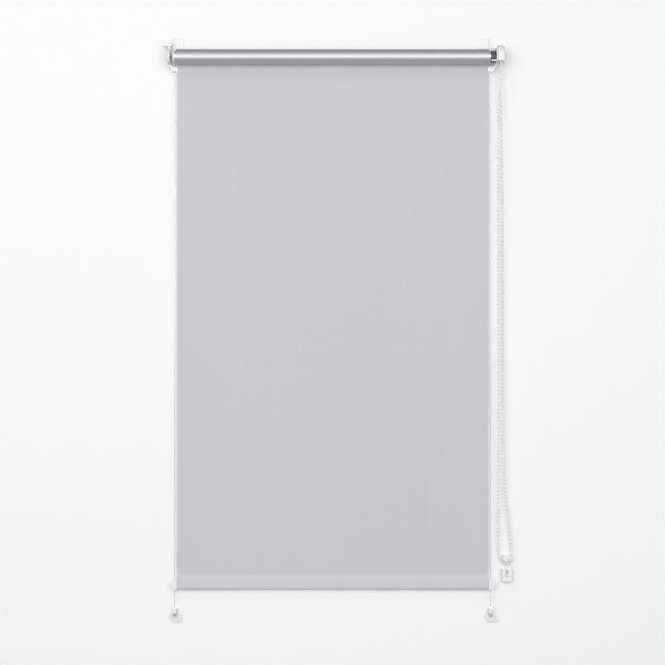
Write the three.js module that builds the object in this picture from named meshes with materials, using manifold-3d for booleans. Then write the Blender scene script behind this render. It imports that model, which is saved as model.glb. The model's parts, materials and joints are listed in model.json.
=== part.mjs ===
// Clamp-on roller blind for one window sash, lowered, in millimetres.
// X runs across the window from the middle of the fabric, Y runs into the sash from its front face,
// and Z runs up from the sash's top edge, so the whole blind hangs at Y < 0 except for its four hooks.
import * as THREE from "three";
import { mergeVertices } from "three/addons/utils/BufferGeometryUtils.js";
import Module from "manifold-3d";

const wasm = await Module();
wasm.setup();

// ---------------------------------------------------------------- driving dimensions
const SASH_HEIGHT = 927; // top edge to bottom edge of the sash
const SASH_THICKNESS = 18; // what the hooks reach round
const GAP = 0.3; // between pieces that rest on each other

const FABRIC_WIDTH = 500;
const FABRIC_THICKNESS = 0.4;
const FABRIC_DROP = 828.5; // from the roll's axis to the top of the hem
const ROLL_RADIUS = 12; // tube and the turns that stay on it with the blind lowered
const ROLL_OVERHANG = 1; // turns that wander past the fabric's edge
const AXIS_DROP = 26; // roll axis below the sash's top edge
const AXIS_REACH = 21; // roll axis in front of the sash

const TUBE_RADIUS = 9;
const TUBE_WALL = 0.8;
const TUBE_OVERHANG = 2.3; // tube past the fabric at each end

const HEM_HEIGHT = 26;
const HEM_THICKNESS = 6.4;
const HEM_WELD = 2; // flat weld at the top of the pocket
const HEM_SHOULDER = 7; // slope from the weld to the full thickness
const HEM_WALL = 0.45;
const BAR_HEIGHT = 18.5;
const BAR_WALL = 0.9;
const CAP_PLATE = 2;
const CAP_HEIGHT = 20.4;
const CAP_LUG = 9; // guide lug, outwards from the cap's plate
const CAP_LUG_THICKNESS = 5.4;
const CAP_SPIGOT = 14;

const WIRE_RADIUS = 0.4;
const WIRE_OFFSET = 4; // wire outside the fabric's edge
const WIRE_HOLE = 0.7;
const EYE_RADIUS = 1.1; // the cap's eye, which slides on the wire

const PLATE = 4; // bracket plate on the sash face
const CHEEK = 3.2;
const CHEEK_RADIUS = 12;
const IDLE_FLANGE = 3.2;
const IDLE_FLANGE_RADIUS = 8.8;
const IDLE_SPACE = 4.4; // between the idle plug and the cheek
const PIN_RADIUS = 2;

const HUB_FLANGE = 8.1; // dark collar between the roll and the drive
const HUB_FLANGE_RADIUS = 9.4;
const SIDE_GAP = 0.6; // beside turning pieces
const HOUSING_PLATE = 2.1;
const WHEEL_WIDTH = 9;
const COVER_WALL = 2;
const COVER_RADIUS = 15.8;
const COVER_CUT = 8.5; // the cover is cut flat this far below the axis
const COVER_RISE = 3; // its round top is centred this far above the axis
const SHAFT_RADIUS = 2.9;
const HUB_RADIUS = 5.6;
const HUB_BORE = 4.4;

const BEAD_PITCH = 6;
const BEAD_RADIUS = 2.25;
const WHEEL_POCKETS = 10;
const THREAD_RADIUS = 0.7;

const HOOK_WIDTH = 16;
const SLEEVE_HEIGHT = 6.2; // sleeve on the sash's edge, which the hook strap slides in
const SLEEVE_DEPTH = 11; // how far the sleeve lies over the edge
const STRAP = 1.4; // steel of the hook
const STRAP_WIDTH = 10;
const STRAP_LEVEL = 3.2; // underside of the strap above the edge
const LIP_LENGTH = 9; // hook's lip behind the sash
const PAD = 1.2;
const CLAMP_SCREW_Y = 6;
const SCREW_RADIUS = 1.5;

const HOLDER_WIDTH = 16; // chain holder
const HOLDER_HEIGHT = 22;
const HOLDER_DEPTH = 9;

// ---------------------------------------------------------------- places worked out from them
const AXIS_Y = -AXIS_REACH;
const AXIS_Z = -AXIS_DROP;
const HALF_FABRIC = FABRIC_WIDTH / 2;
const TUBE_END = HALF_FABRIC + TUBE_OVERHANG;
const PANEL_FRONT = AXIS_Y + ROLL_RADIUS + GAP;
const PANEL_MID = PANEL_FRONT + FABRIC_THICKNESS / 2;
const HEM_TOP = AXIS_Z - FABRIC_DROP;
const HEM_BOTTOM = HEM_TOP - HEM_HEIGHT;
const WIRE_X = HALF_FABRIC + WIRE_OFFSET;
const WHEEL_RADIUS = (BEAD_PITCH * WHEEL_POCKETS) / (2 * Math.PI); // where the bead centres run

const IDLE_OUT = TUBE_END + GAP + IDLE_FLANGE;
const CHEEK_IN = IDLE_OUT + IDLE_SPACE;
const CHEEK_OUT = CHEEK_IN + CHEEK;
const HUB_OUT = TUBE_END + GAP + HUB_FLANGE;
const HOUSING_IN = HUB_OUT + SIDE_GAP;
const HOUSING_OUT = HOUSING_IN + HOUSING_PLATE;
const WHEEL_IN = HOUSING_OUT + SIDE_GAP;
const WHEEL_OUT = WHEEL_IN + WHEEL_WIDTH;
const WHEEL_MID = (WHEEL_IN + WHEEL_OUT) / 2;
const COVER_IN = WHEEL_OUT + SIDE_GAP;
const COVER_OUT = COVER_IN + COVER_WALL;
const LEFT_HOOK_X = -HALF_FABRIC;
const RIGHT_HOOK_X = HALF_FABRIC - 7;

// ---------------------------------------------------------------- materials
const finish = (color, roughness, metalness = 0) =>
  new THREE.MeshStandardMaterial({ color, roughness, metalness });
const whitePlastic = () => finish(0xeceded, 0.35);
const darkPlastic = () => finish(0x4b4c4f, 0.5);
const steel = () => finish(0xb9bcc0, 0.3, 1);
const springSteel = () => finish(0x8d9095, 0.35, 1);
const aluminium = () => finish(0xc9cbce, 0.35, 1);
const greyFabric = () => finish(0xc6c5ca, 0.9);
const silverFabric = () => finish(0xb4b5ba, 0.35, 0.6);
const rubber = () => finish(0x3a3a3c, 0.9);
const clearWire = () => finish(0xdfe3e6, 0.2);
const chainPlastic = () => finish(0xf0f0ee, 0.3);

// ---------------------------------------------------------------- solids
// A closed three.js geometry as a manifold-3d solid, with its faces turned to point outwards.
function solid(geometry) {
  const bare = geometry.index ? geometry.toNonIndexed() : geometry.clone();
  bare.deleteAttribute("normal");
  bare.deleteAttribute("uv");
  const merged = mergeVertices(bare, 1e-4);
  const make = (triVerts) =>
    new wasm.Manifold(
      new wasm.Mesh({ numProp: 3, vertProperties: merged.attributes.position.array, triVerts }),
    );
  const triVerts = new Uint32Array(merged.index.array);
  const made = make(triVerts);
  if (made.volume() > 0) return made;
  for (let i = 0; i < triVerts.length; i += 3)
    [triVerts[i + 1], triVerts[i + 2]] = [triVerts[i + 2], triVerts[i + 1]];
  return make(triVerts);
}

function geometryOf(body) {
  const { vertProperties, triVerts, numProp } = body.getMesh();
  const positions = new Float32Array((vertProperties.length / numProp) * 3);
  for (let i = 0; i < positions.length / 3; i++)
    positions.set(vertProperties.subarray(i * numProp, i * numProp + 3), i * 3);
  const geometry = new THREE.BufferGeometry();
  geometry.setAttribute("position", new THREE.BufferAttribute(positions, 3));
  geometry.setIndex(new THREE.BufferAttribute(new Uint32Array(triVerts), 1));
  geometry.computeVertexNormals();
  return geometry;
}

const join = (...bodies) => bodies.reduce((a, b) => a.add(b));
const cut = (body, ...tools) => tools.reduce((a, b) => a.subtract(b), body);

function node(name, body, material) {
  const mesh = new THREE.Mesh(geometryOf(body), material);
  mesh.name = name;
  return mesh;
}

// A box between two values on each axis.
function box([x0, x1], [y0, y1], [z0, z1]) {
  const size = [x1 - x0, y1 - y0, z1 - z0].map(Math.abs);
  const geometry = new THREE.BoxGeometry(...size);
  return solid(geometry.translate((x0 + x1) / 2, (y0 + y1) / 2, (z0 + z1) / 2));
}

function shapeOf(points) {
  return new THREE.Shape(points.map(([a, b]) => new THREE.Vector2(a, b)));
}

const plainExtrude = (shape, depth, options = {}) =>
  new THREE.ExtrudeGeometry(shape, { depth, bevelEnabled: false, curveSegments: 10, ...options });

// An outline in Y and Z, pushed along X from x0 to x1.
function alongX(shape, x0, x1, options) {
  const geometry = plainExtrude(shape, x1 - x0, options);
  geometry.applyMatrix4(new THREE.Matrix4().set(0, 0, 1, x0, 1, 0, 0, 0, 0, 1, 0, 0, 0, 0, 0, 1));
  return solid(geometry);
}

// An outline in X and Z, pushed along Y from y0 to y1.
function alongY(shape, y0, y1) {
  const geometry = plainExtrude(shape, y1 - y0);
  geometry.applyMatrix4(new THREE.Matrix4().set(1, 0, 0, 0, 0, 0, 1, y0, 0, 1, 0, 0, 0, 0, 0, 1));
  return solid(geometry);
}

// A profile of [x, radius] pairs turned about the roll's axis.
function turned(profile, segments = 40) {
  const geometry = new THREE.LatheGeometry(
    profile.map(([x, r]) => new THREE.Vector2(r, x)),
    segments,
  );
  geometry.rotateZ(-Math.PI / 2);
  return solid(geometry.translate(0, AXIS_Y, AXIS_Z));
}

const roundBar = (x0, x1, r, segments = 24) =>
  turned([[x0, 0], [x0, r], [x1, r], [x1, 0]], segments);
const sleeve = (x0, x1, inner, outer, segments = 40) =>
  turned([[x0, inner], [x0, outer], [x1, outer], [x1, inner], [x0, inner]], segments);

// A round rod from one point to another along any axis.
function rod(from, to, radius, segments = 16) {
  const a = new THREE.Vector3(...from);
  const b = new THREE.Vector3(...to);
  const geometry = new THREE.CylinderGeometry(radius, radius, a.distanceTo(b), segments);
  const turn = new THREE.Quaternion().setFromUnitVectors(
    new THREE.Vector3(0, 1, 0),
    b.clone().sub(a).normalize(),
  );
  geometry.applyQuaternion(turn);
  return solid(geometry.translate(...a.add(b).multiplyScalar(0.5)));
}

function circleShape(radius, sides) {
  const shape = new THREE.Shape();
  for (let i = 0; i < sides; i++) {
    const angle = (i / sides) * 2 * Math.PI;
    const point = [radius * Math.cos(angle), radius * Math.sin(angle)];
    if (i) shape.lineTo(...point);
    else shape.moveTo(...point);
  }
  return shape;
}

// A round section swept along a curve, with closed ends.
function swept(curve, radius, sides, steps) {
  return solid(
    new THREE.ExtrudeGeometry(circleShape(radius, sides), { steps, extrudePath: curve }),
  );
}

// A compression or wrap spring on the roll's axis.
class Helix extends THREE.Curve {
  constructor(x0, x1, radius, turns) {
    super();
    Object.assign(this, { x0, x1, radius, turns });
  }
  getPoint(t, target = new THREE.Vector3()) {
    const angle = t * this.turns * 2 * Math.PI;
    return target.set(
      this.x0 + t * (this.x1 - this.x0),
      AXIS_Y + this.radius * Math.cos(angle),
      AXIS_Z + this.radius * Math.sin(angle),
    );
  }
}

// A disc about the roll's axis, as an outline in Y and Z, run back to the sash as a web.
function cheekShape(radius, back) {
  const shape = new THREE.Shape();
  shape.moveTo(back, AXIS_Z - radius);
  shape.lineTo(back, AXIS_Z + radius);
  shape.lineTo(AXIS_Y, AXIS_Z + radius);
  shape.absarc(AXIS_Y, AXIS_Z, radius, Math.PI / 2, (3 * Math.PI) / 2, false);
  shape.closePath();
  return shape;
}

// The drive's hood: round over the top, straight down in front and behind, run well below its cut.
function hoodShape(radius, back) {
  const low = AXIS_Z - 2 * COVER_RADIUS;
  const middle = AXIS_Z + COVER_RISE;
  const shape = new THREE.Shape();
  shape.moveTo(back, low);
  shape.lineTo(back, middle + radius);
  shape.lineTo(AXIS_Y, middle + radius);
  shape.absarc(AXIS_Y, middle, radius, Math.PI / 2, Math.PI, false);
  shape.lineTo(AXIS_Y - radius, low);
  shape.closePath();
  return shape;
}

// An upright strip with half-round ends, as an outline in Y and Z.
function uprightStrip(midY, bottom, top, thickness) {
  const r = thickness / 2;
  const shape = new THREE.Shape();
  shape.moveTo(midY + r, bottom + r);
  shape.lineTo(midY + r, top - r);
  shape.absarc(midY, top - r, r, 0, Math.PI, false);
  shape.lineTo(midY - r, bottom + r);
  shape.absarc(midY, bottom + r, r, Math.PI, 2 * Math.PI, false);
  return shape;
}

// ---------------------------------------------------------------- clamps
// Each clamp is drawn at its own seat: x along the sash's edge, y into the sash, z away from the edge.
const SLOT_LOW = STRAP_LEVEL - GAP;
const SLOT_HIGH = STRAP_LEVEL + STRAP + GAP;
const NUT_SIDE = 5.5;
const NUT_HEIGHT = 1.7;
const NUT_POCKET_FLOOR = 0.5;
const SCREW_HEAD = 1.5;
const SCREW_HEAD_RADIUS = 2.7;

function clampSleeve() {
  const half = HOOK_WIDTH / 2;
  const strapHalf = STRAP_WIDTH / 2 + GAP;
  const nutHalf = NUT_SIDE / 2 + GAP;
  const block = box([-half, half], [-PLATE, SLEEVE_DEPTH], [0, SLEEVE_HEIGHT]);
  const strapSlot = box([-strapHalf, strapHalf], [-1.2, SLEEVE_DEPTH + 1], [SLOT_LOW, SLOT_HIGH]);
  const nutPocket = box(
    [-nutHalf, nutHalf],
    [CLAMP_SCREW_Y - nutHalf, CLAMP_SCREW_Y + nutHalf],
    [NUT_POCKET_FLOOR, SLOT_LOW + 0.1],
  );
  const screwHole = rod(
    [0, CLAMP_SCREW_Y, SLOT_LOW],
    [0, CLAMP_SCREW_Y, SLEEVE_HEIGHT + 1],
    SCREW_RADIUS + GAP,
  );
  return cut(block, strapSlot, nutPocket, screwHole);
}

function clampHook() {
  const lipFront = SASH_THICKNESS + PAD + GAP;
  const half = STRAP_WIDTH / 2;
  const slotHalf = SCREW_RADIUS + GAP;
  const tongue = box([-half, half], [0.6, lipFront + 1], [STRAP_LEVEL, STRAP_LEVEL + STRAP]);
  const lip = box([-half - 1, half + 1], [lipFront, lipFront + STRAP], [-LIP_LENGTH, STRAP_LEVEL + STRAP]);
  const fork = box(
    [-slotHalf, slotHalf],
    [0, CLAMP_SCREW_Y + SCREW_RADIUS + 2],
    [STRAP_LEVEL - 1, STRAP_LEVEL + STRAP + 1],
  );
  return cut(join(tongue, lip), fork);
}

function clampPad() {
  const half = STRAP_WIDTH / 2;
  return box([-half, half], [SASH_THICKNESS, SASH_THICKNESS + PAD], [0.5 - LIP_LENGTH, -1]);
}

function clampScrew() {
  const base = SLEEVE_HEIGHT + GAP;
  const head = rod([0, CLAMP_SCREW_Y, base], [0, CLAMP_SCREW_Y, base + SCREW_HEAD], SCREW_HEAD_RADIUS);
  const shank = rod([0, CLAMP_SCREW_Y, 0.8], [0, CLAMP_SCREW_Y, base + 0.5], SCREW_RADIUS, 12);
  const slot = (w, d) =>
    box(
      [-w, w],
      [CLAMP_SCREW_Y - d, CLAMP_SCREW_Y + d],
      [base + SCREW_HEAD - 0.7, base + SCREW_HEAD + 1],
    );
  return cut(join(head, shank), slot(0.35, 1.7), slot(1.7, 0.35));
}

function clampNut() {
  const half = NUT_SIDE / 2;
  const top = STRAP_LEVEL - GAP;
  const block = box(
    [-half, half],
    [CLAMP_SCREW_Y - half, CLAMP_SCREW_Y + half],
    [top - NUT_HEIGHT, top],
  );
  return cut(block, rod([0, CLAMP_SCREW_Y, 0], [0, CLAMP_SCREW_Y, 4], SCREW_RADIUS + GAP, 12));
}

function clampSet(name, x, z, underneath) {
  const set = new THREE.Group();
  set.position.set(x, 0, z);
  if (underneath) set.rotation.y = Math.PI;
  set.add(
    node(name + "_hook", clampHook(), steel()),
    node(name + "_pad", clampPad(), rubber()),
    node(name + "_screw", clampScrew(), steel()),
    node(name + "_nut", clampNut(), steel()),
  );
  return set;
}

// ---------------------------------------------------------------- top brackets
const ARM_DEPTH = 12;
const NOSE_TOP = AXIS_Z - ROLL_RADIUS - 3.5;
const NOSE_BOTTOM = NOSE_TOP - 6.5;
const NOSE_HALF = 3.5;

// Arm under the cheek that ends in the nose holding the guide wire; side is -1 left, +1 right.
function wireArm(side, cheekIn, cheekOut) {
  const outline = [
    [cheekOut, AXIS_Z - 8],
    [cheekOut, AXIS_Z - CHEEK_RADIUS],
    [WIRE_X + NOSE_HALF, NOSE_BOTTOM],
    [WIRE_X - NOSE_HALF, NOSE_BOTTOM],
    [WIRE_X - NOSE_HALF, NOSE_TOP],
    [WIRE_X + NOSE_HALF / 2, NOSE_TOP],
    [cheekIn, AXIS_Z - CHEEK_RADIUS + 2],
    [cheekIn, AXIS_Z - 8],
  ].map(([x, z]) => [side * x, z]);
  const hole = rod(
    [side * WIRE_X, PANEL_MID, NOSE_BOTTOM - 1],
    [side * WIRE_X, PANEL_MID, NOSE_TOP + 1],
    WIRE_HOLE,
    12,
  );
  return cut(alongY(shapeOf(outline), -ARM_DEPTH, 0), hole);
}

function leftBracket() {
  const half = HOOK_WIDTH / 2;
  const plateBottom = AXIS_Z - CHEEK_RADIUS;
  const hookStrap = box([LEFT_HOOK_X - half, LEFT_HOOK_X + half], [-PLATE, 0], [plateBottom, 0.5]);
  const plate = box([-CHEEK_OUT, LEFT_HOOK_X], [-PLATE, 0], [plateBottom, -2.4]);
  const topBlock = box([-CHEEK_OUT - 7.5, -CHEEK_IN + 2], [-16, 0], [-8, -2.4]);
  const web = box([-CHEEK_OUT, -CHEEK_IN], [-16, -1], [-16, -5]);
  const cheek = alongX(cheekShape(CHEEK_RADIUS, -0.5), -CHEEK_OUT, -CHEEK_IN);
  const pinHole = roundBar(-CHEEK_OUT - 1, -CHEEK_IN + 1, PIN_RADIUS + GAP);
  const grip = clampSleeve().translate([LEFT_HOOK_X, 0, 0]);
  const solidBracket = join(hookStrap, plate, topBlock, web, cheek, grip);
  return cut(join(solidBracket, wireArm(-1, CHEEK_IN, CHEEK_OUT)), pinHole);
}

const SCREW_Y = -3.8; // screws that hold the drive cover, behind the wheel
const COVER_SCREWS = { upper: AXIS_Z + 9.5, lower: AXIS_Z - 5.5 };
const COVER_SCREW_RADIUS = 0.9;

function rightBracket() {
  const half = HOOK_WIDTH / 2;
  const plateBottom = AXIS_Z - CHEEK_RADIUS;
  const hookStrap = box([RIGHT_HOOK_X - half, RIGHT_HOOK_X + half], [-PLATE, 0], [plateBottom, 0.5]);
  const plate = box([RIGHT_HOOK_X, HOUSING_OUT], [-PLATE, 0], [plateBottom, -9]);
  const disc = alongX(hoodShape(COVER_RADIUS - 0.4, -0.5), HOUSING_IN, HOUSING_OUT);
  const belowCut = box([HOUSING_IN - 1, HOUSING_OUT + 1], [-60, 1], [-80, AXIS_Z - COVER_CUT]);
  const hubHole = roundBar(HOUSING_IN - 1, HOUSING_OUT + 1, HUB_RADIUS + 1);
  const screwHoles = Object.values(COVER_SCREWS).map((z) =>
    rod([HOUSING_IN - 1, SCREW_Y, z], [HOUSING_OUT + 1, SCREW_Y, z], COVER_SCREW_RADIUS + GAP, 10),
  );
  const grip = clampSleeve().translate([RIGHT_HOOK_X, 0, 0]);
  const arm = wireArm(1, HOUSING_IN, HOUSING_OUT);
  const guardBottom = AXIS_Z - COVER_CUT;
  const collarGuard = box(
    [TUBE_END + 3 * GAP, HOUSING_IN + 0.5],
    [AXIS_Y - 10.6, AXIS_Y - 8.8],
    [guardBottom, guardBottom + 2.2],
  );
  const body = join(hookStrap, plate, cut(disc, belowCut), grip, arm, collarGuard);
  return cut(body, hubHole, ...screwHoles);
}

// ---------------------------------------------------------------- idle end
const PLUG_RADIUS = TUBE_RADIUS - TUBE_WALL - GAP;
const PLUG_LENGTH = 22;
const PLUG_CHAMBER = 4.6;
const PLUG_END_WALL = 3;
const PIN_COLLAR = 4;
const PIN_PROUD = 0.8; // pin past the cheek's outer face

function idlePlug() {
  const mouth = -TUBE_END + PLUG_LENGTH;
  const step = -TUBE_END - GAP;
  const chamberEnd = -IDLE_OUT + IDLE_FLANGE + PLUG_END_WALL;
  return turned(
    [
      [-IDLE_OUT, PIN_RADIUS + GAP],
      [-IDLE_OUT, IDLE_FLANGE_RADIUS - 0.8],
      [-IDLE_OUT + 0.8, IDLE_FLANGE_RADIUS],
      [step, IDLE_FLANGE_RADIUS],
      [step, PLUG_RADIUS],
      [mouth, PLUG_RADIUS],
      [mouth, PLUG_CHAMBER],
      [chamberEnd, PLUG_CHAMBER],
      [chamberEnd, PIN_RADIUS + GAP],
      [-IDLE_OUT, PIN_RADIUS + GAP],
    ],
    32,
  );
}

const COLLAR_X = -IDLE_OUT + IDLE_FLANGE + PLUG_END_WALL + GAP;
const COLLAR_WIDTH = 1.5;
const SPRING_CAP_X = -TUBE_END + PLUG_LENGTH - 2.6;

function idlePin() {
  return turned([
    [-CHEEK_OUT - PIN_PROUD, 0],
    [-CHEEK_OUT - PIN_PROUD, PIN_RADIUS - 0.5],
    [-CHEEK_OUT - PIN_PROUD + 0.5, PIN_RADIUS],
    [COLLAR_X, PIN_RADIUS],
    [COLLAR_X, PIN_COLLAR],
    [COLLAR_X + COLLAR_WIDTH, PIN_COLLAR],
    [COLLAR_X + COLLAR_WIDTH, PIN_RADIUS],
    [SPRING_CAP_X + 5, PIN_RADIUS],
    [SPRING_CAP_X + 5, 0],
  ], 20);
}

const SPRING_WIRE = 0.4;
const idleSpring = () =>
  swept(
    new Helix(COLLAR_X + COLLAR_WIDTH + 0.8, SPRING_CAP_X - 0.8, 3.1, 5),
    SPRING_WIRE,
    6,
    60,
  );
const idleSpringCap = () =>
  sleeve(SPRING_CAP_X, SPRING_CAP_X + 2.2, PIN_RADIUS + GAP, PLUG_CHAMBER - GAP, 24);

// ---------------------------------------------------------------- drive end
const KEY_HALF = 0.8;
const KEY_HEIGHT = 1.1;
const HUB_END = TUBE_END - 12; // inner end of the wheel's hub, inside the adapter
const ADAPTER_END = TUBE_END - 24;

const keyBars = (half, radius, x0, x1) =>
  [0, Math.PI].map((turn) => {
    const y = AXIS_Y + Math.cos(turn) * (HUB_RADIUS - 0.5);
    const outer = AXIS_Y + Math.cos(turn) * radius;
    return box([x0, x1], [Math.min(y, outer), Math.max(y, outer)], [AXIS_Z - half, AXIS_Z + half]);
  });

function chainWheel() {
  const tooth = WHEEL_RADIUS + 0.35;
  const flange = WHEEL_RADIUS + 2.4;
  const waist = BEAD_RADIUS + 0.45;
  const core = turned(
    [
      [HUB_END, HUB_BORE],
      [HUB_END, HUB_RADIUS],
      [WHEEL_IN, HUB_RADIUS],
      [WHEEL_IN, flange],
      [WHEEL_MID - waist - 0.9, flange],
      [WHEEL_MID - waist, tooth],
      [WHEEL_MID + waist, tooth],
      [WHEEL_MID + waist + 0.9, flange],
      [WHEEL_OUT, flange],
      [WHEEL_OUT, HUB_BORE],
      [HUB_END, HUB_BORE],
    ],
    40,
  );
  const threadSlot = sleeve(WHEEL_MID - 1.1, WHEEL_MID + 1.1, WHEEL_RADIUS - 1.7, WHEEL_RADIUS + 4);
  const pocketRadius = BEAD_RADIUS + GAP;
  const pocketProfile = [[0, -pocketRadius], [0.7071 * pocketRadius, -0.7071 * pocketRadius],
    [pocketRadius, 0], [pocketRadius, 5], [0, 5]];
  const pocket = new THREE.LatheGeometry(pocketProfile.map((p) => new THREE.Vector2(...p)), 10);
  const pockets = [];
  for (let i = 0; i < WHEEL_POCKETS; i++) {
    const one = pocket.clone().translate(0, WHEEL_RADIUS, 0);
    one.rotateX((i / WHEEL_POCKETS) * 2 * Math.PI);
    pockets.push(solid(one.translate(WHEEL_MID, AXIS_Y, AXIS_Z)));
  }
  const keyed = join(core, ...keyBars(KEY_HALF, HUB_RADIUS + KEY_HEIGHT, HUB_END, HUB_OUT - 2));
  return cut(keyed, threadSlot, ...pockets);
}

function tubeAdapter() {
  const bore = HUB_RADIUS + GAP;
  const body = turned([
    [ADAPTER_END, bore],
    [ADAPTER_END, PLUG_RADIUS - 0.6],
    [ADAPTER_END + 2, PLUG_RADIUS],
    [TUBE_END + GAP, PLUG_RADIUS],
    [TUBE_END + GAP, HUB_FLANGE_RADIUS],
    [HUB_OUT - 1, HUB_FLANGE_RADIUS],
    [HUB_OUT, HUB_FLANGE_RADIUS - 1],
    [HUB_OUT, bore],
    [ADAPTER_END, bore],
  ], 32);
  return cut(body, ...keyBars(KEY_HALF + GAP, HUB_RADIUS + KEY_HEIGHT + GAP, ADAPTER_END - 1, HUB_OUT + 1));
}

const SHAFT_SCREW_RADIUS = 1.2;

function driveShaft() {
  const end = COVER_IN - GAP;
  const shaft = roundBar(HUB_END + 1, end, SHAFT_RADIUS, 20);
  return cut(shaft, roundBar(end - 9, end + 1, SHAFT_SCREW_RADIUS + GAP, 10));
}

const clutchSpring = () =>
  swept(new Helix(HUB_END + 3, HUB_END + 11, SHAFT_RADIUS + 0.7, 6), SPRING_WIRE, 6, 72);

const SCREW_CAP_HEIGHT = 1.3;
const crossSlot = (x, y, z) => [
  box([x - 0.6, x + 1], [y - 1.1, y + 1.1], [z - 0.25, z + 0.25]),
  box([x - 0.6, x + 1], [y - 0.25, y + 0.25], [z - 1.1, z + 1.1]),
];

function endScrew(y, z, length, radius, headRadius) {
  const base = COVER_OUT + GAP;
  const head = rod([base, y, z], [base + SCREW_CAP_HEIGHT, y, z], headRadius);
  const shank = rod([base - length, y, z], [base + 0.4, y, z], radius, 10);
  return cut(join(head, shank), ...crossSlot(base + SCREW_CAP_HEIGHT, y, z));
}

function driveCover() {
  const back = -GAP;
  const start = HOUSING_OUT + GAP;
  const taper = 3.2;
  const chamfer = 7;
  const shell = alongX(hoodShape(COVER_RADIUS - taper, back - taper), start, COVER_OUT - chamfer, {
    bevelEnabled: true,
    bevelThickness: chamfer,
    bevelSize: taper,
    bevelSegments: 3,
  });
  const keep = box([start, COVER_OUT + 1], [-60, back], [AXIS_Z - COVER_CUT, 0]);
  const inner = hoodShape(COVER_RADIUS - COVER_WALL - 0.4, -COVER_WALL);
  const room = alongX(inner, start - 1, COVER_IN - 2.2).add(
    alongX(hoodShape(COVER_RADIUS - COVER_WALL - 1.3, -COVER_WALL - 0.6), start - 1, COVER_IN),
  );
  const bosses = Object.values(COVER_SCREWS).map((z) =>
    rod([start, SCREW_Y, z], [COVER_IN + 0.5, SCREW_Y, z], 2.2, 14),
  );
  const holes = Object.values(COVER_SCREWS).map((z) =>
    rod([start - 1, SCREW_Y, z], [COVER_OUT + 1, SCREW_Y, z], COVER_SCREW_RADIUS + GAP, 10),
  );
  const shaftHole = roundBar(COVER_IN - 1, COVER_OUT + 1, SHAFT_SCREW_RADIUS + GAP, 10);
  return cut(join(cut(shell.intersect(keep), room), ...bosses), ...holes, shaftHole);
}

// ---------------------------------------------------------------- fabric and bottom bar
const rollerTube = () => sleeve(-TUBE_END, TUBE_END, TUBE_RADIUS - TUBE_WALL, TUBE_RADIUS, 40);
const fabricRoll = () =>
  sleeve(
    -HALF_FABRIC - ROLL_OVERHANG,
    HALF_FABRIC + ROLL_OVERHANG,
    TUBE_RADIUS + GAP,
    ROLL_RADIUS,
    48,
  );
const fabricPanel = () =>
  box(
    [-HALF_FABRIC, HALF_FABRIC],
    [PANEL_FRONT, PANEL_FRONT + FABRIC_THICKNESS],
    [HEM_TOP + GAP, AXIS_Z],
  );

// The hem's section in Y and Z: a flat weld, two shoulders and a rounded bottom.
function hemOutline(inset) {
  const half = HEM_THICKNESS / 2 - inset;
  const tip = Math.max(FABRIC_THICKNESS - inset, 0.05);
  const top = inset ? HEM_TOP - HEM_WELD : HEM_TOP;
  const low = HEM_BOTTOM + HEM_THICKNESS / 2;
  const shape = new THREE.Shape();
  shape.moveTo(PANEL_MID + tip, top);
  shape.lineTo(PANEL_MID - tip, top);
  shape.lineTo(PANEL_MID - tip, HEM_TOP - HEM_WELD - inset);
  shape.lineTo(PANEL_MID - half, HEM_TOP - HEM_WELD - HEM_SHOULDER);
  shape.lineTo(PANEL_MID - half, low);
  shape.absarc(PANEL_MID, low, half, Math.PI, 2 * Math.PI, false);
  shape.lineTo(PANEL_MID + half, HEM_TOP - HEM_WELD - HEM_SHOULDER);
  shape.lineTo(PANEL_MID + tip, HEM_TOP - HEM_WELD - inset);
  shape.closePath();
  return shape;
}

const hemPocket = () =>
  cut(
    alongX(hemOutline(0), -HALF_FABRIC, HALF_FABRIC),
    alongX(hemOutline(HEM_WALL), -HALF_FABRIC - 1, HALF_FABRIC + 1),
  );

const BAR_THICKNESS = HEM_THICKNESS - 2 * (HEM_WALL + GAP);
const BAR_BOTTOM = HEM_BOTTOM + HEM_WALL + GAP;
const BAR_TOP = BAR_BOTTOM + BAR_HEIGHT;
const BAR_END = HALF_FABRIC - 1.5;
const barSection = (inset) =>
  uprightStrip(PANEL_MID, BAR_BOTTOM + inset, BAR_TOP - inset, BAR_THICKNESS - 2 * inset);

const bottomBar = () =>
  cut(
    alongX(barSection(0), -BAR_END, BAR_END),
    alongX(barSection(BAR_WALL), -BAR_END - 1, BAR_END + 1),
  );

function barCap(side) {
  const plateIn = HALF_FABRIC + GAP;
  const plateOut = plateIn + CAP_PLATE;
  const middle = (BAR_BOTTOM + BAR_TOP) / 2 - 1;
  const low = middle - CAP_HEIGHT / 2;
  const plate = alongX(uprightStrip(PANEL_MID, low, low + CAP_HEIGHT, 7), plateIn, plateOut);
  const spigot = alongX(barSection(BAR_WALL + GAP), HALF_FABRIC - CAP_SPIGOT, plateIn + 0.5);
  const lugOutline = [
    [plateOut - 0.5, middle + 8.5],
    [plateOut + 3.5, middle + 7.5],
    [plateOut + CAP_LUG, middle],
    [plateOut + 5.5, middle - 9],
    [plateOut - 0.5, middle - 9.5],
  ];
  const lugHalf = CAP_LUG_THICKNESS / 2;
  const lug = alongY(shapeOf(lugOutline), PANEL_MID - lugHalf, PANEL_MID + lugHalf);
  const eye = rod([WIRE_X, PANEL_MID, middle - 20], [WIRE_X, PANEL_MID, middle + 20], EYE_RADIUS, 12);
  const cap = cut(join(plate, spigot, lug), eye);
  return side > 0 ? cap : cap.mirror([1, 0, 0]);
}

// ---------------------------------------------------------------- guide wires and foot brackets
const STOP_RADIUS = 1.8;
const STOP_LENGTH = 4.2;
const FOOT_PLATE = 3;
const FOOT_NOSE_LOW = 8; // nose above the sash's bottom edge
const FOOT_NOSE_HIGH = 16.5;
const TENSIONER_LENGTH = 5;
const FOOT_Z = -SASH_HEIGHT;
const WIRE_BOTTOM = FOOT_Z + 2;

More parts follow.
